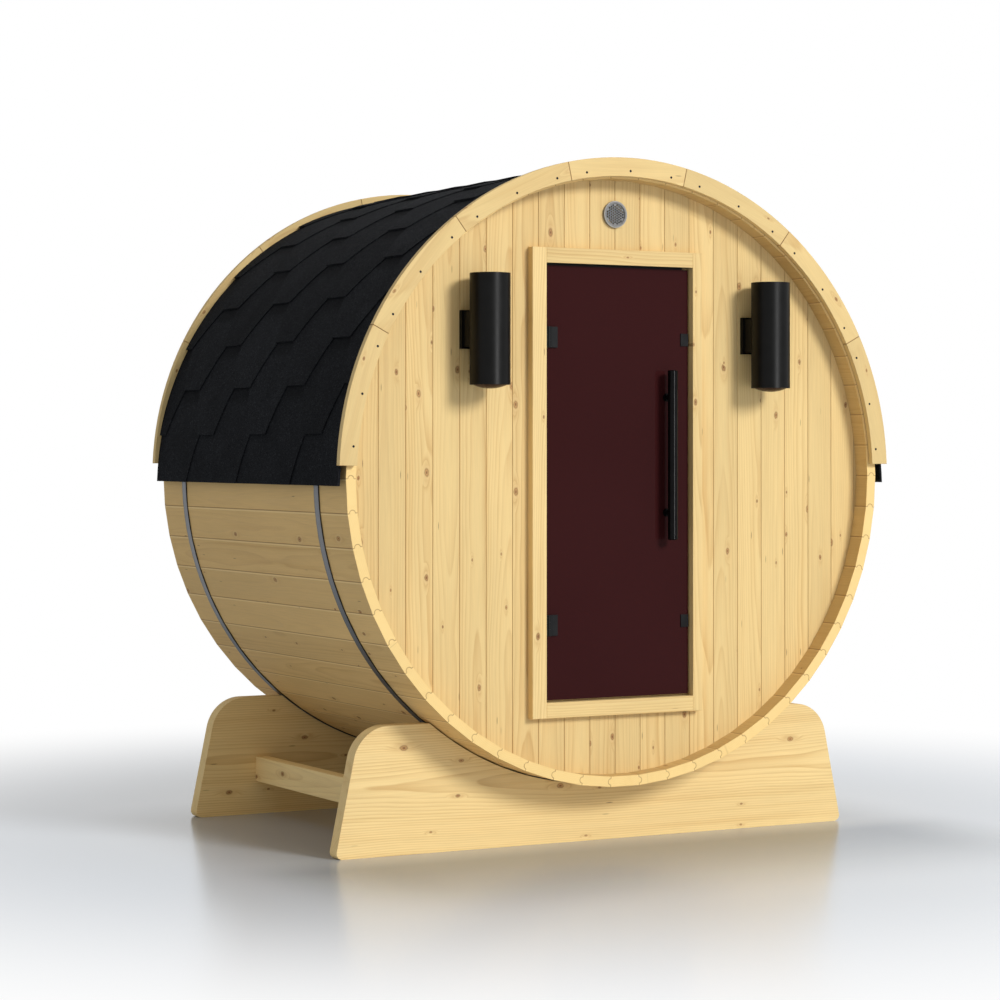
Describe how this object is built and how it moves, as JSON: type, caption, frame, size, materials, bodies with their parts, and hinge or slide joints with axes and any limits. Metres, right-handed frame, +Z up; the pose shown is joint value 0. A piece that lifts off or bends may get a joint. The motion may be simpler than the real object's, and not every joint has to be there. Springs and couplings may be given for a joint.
{
  "type": "barrel sauna",
  "caption": "Barrel sauna cabin: round wall of wooden staves on two cradles, recessed end walls, hinged tinted glass door, shingled upper half, wall lamps and a round vent.",
  "frame": {"origin": "centre of the footprint, on the ground under the cradles", "axes": "+X right, +Y from the door to the back along the barrel, +Z up"},
  "size_m": [1.8586, 1.439, 2.0008],
  "materials": {
    "pine": "planed, clear matt oil",
    "shingle": "black mineral granules",
    "band_steel": "satin",
    "black_metal": "satin black",
    "tinted_glass": "dark tint",
    "vent_steel": "satin",
    "lamp_lens": "smoked"
  },
  "bodies": {
    "cabin": {"front_cradle": "pine", "rear_cradle": "pine", "left_cradle_beam": "pine", "right_cradle_beam": "pine", "staves_bottom": "pine", "staves_lower_right": "pine", "staves_right": "pine", "staves_upper_right": "pine", "staves_top": "pine", "staves_upper_left": "pine", "staves_left": "pine", "staves_lower_left": "pine", "front_wall_left": "pine", "front_wall_right": "pine", "front_wall_over_door": "pine", "front_wall_under_door": "pine", "rear_wall": "pine", "floor_boards": "pine", "floor_bearers": "pine", "hinge_jamb": "pine", "latch_jamb": "pine", "door_head": "pine", "door_sill": "pine", "front_fascia": "pine", "rear_fascia": "pine", "front_band": "band_steel", "rear_band": "band_steel", "upper_hinge_bracket": "black_metal", "lower_hinge_bracket": "black_metal", "vent_grille": "vent_steel", "left_lamp_plate": "black_metal", "left_lamp_body": "black_metal", "left_lamp_lenses": "lamp_lens", "right_lamp_plate": "black_metal", "right_lamp_body": "black_metal", "right_lamp_lenses": "lamp_lens", "roof_left": "shingle", "roof_right": "shingle", "roof_ridge": "shingle"},
    "door": {"door_glass": "tinted_glass", "door_handle": "black_metal", "upper_hinge_clamp": "black_metal", "lower_hinge_clamp": "black_metal", "door_strikes": "black_metal"}
  },
  "joints": [
    {"name": "door_hinge", "type": "hinge", "parent": "cabin", "child": "door", "pos_m": [-0.232, -0.5995, 1.071], "axis": [0, 0, -1], "range_deg": [0, 110]}
  ]
}
